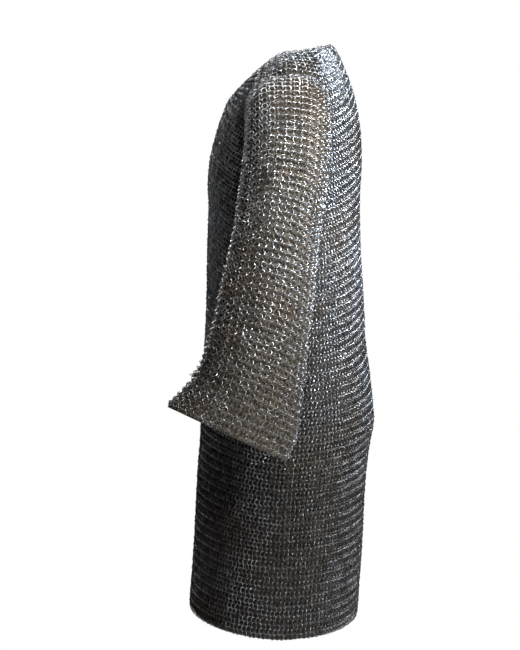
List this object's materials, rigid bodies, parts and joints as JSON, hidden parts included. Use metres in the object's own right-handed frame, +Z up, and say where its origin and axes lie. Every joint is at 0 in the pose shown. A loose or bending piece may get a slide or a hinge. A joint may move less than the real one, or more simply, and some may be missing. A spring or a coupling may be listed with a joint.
{
  "type": "chainmail hauberk",
  "caption": "Knee-length coat of linked steel rings with long flared sleeves and a round neck, worn shape, hollow, open at neck, hem and cuffs.",
  "frame": {"origin": "middle of the neck opening, level with the tops of the shoulders, where the wearer carries the mail", "axes": "+Z up, from hem to neck; -Y the way the wearer faces; +X the wearer's left arm"},
  "size_m": [0.6256, 0.3416, 0.977],
  "materials": {
    "body_mail": "dark oiled steel wire rings, worn bright on their crowns",
    "shoulder_mail": "dark oiled steel wire rings, worn bright on their crowns",
    "sleeve_mail": "dark oiled steel wire rings, worn bright on their crowns"
  },
  "bodies": {
    "root": {"body_front": "body_mail", "body_back": "body_mail", "shoulder_left": "shoulder_mail", "shoulder_right": "shoulder_mail", "sleeve_left": "sleeve_mail", "sleeve_right": "sleeve_mail"}
  },
  "joints": []
}
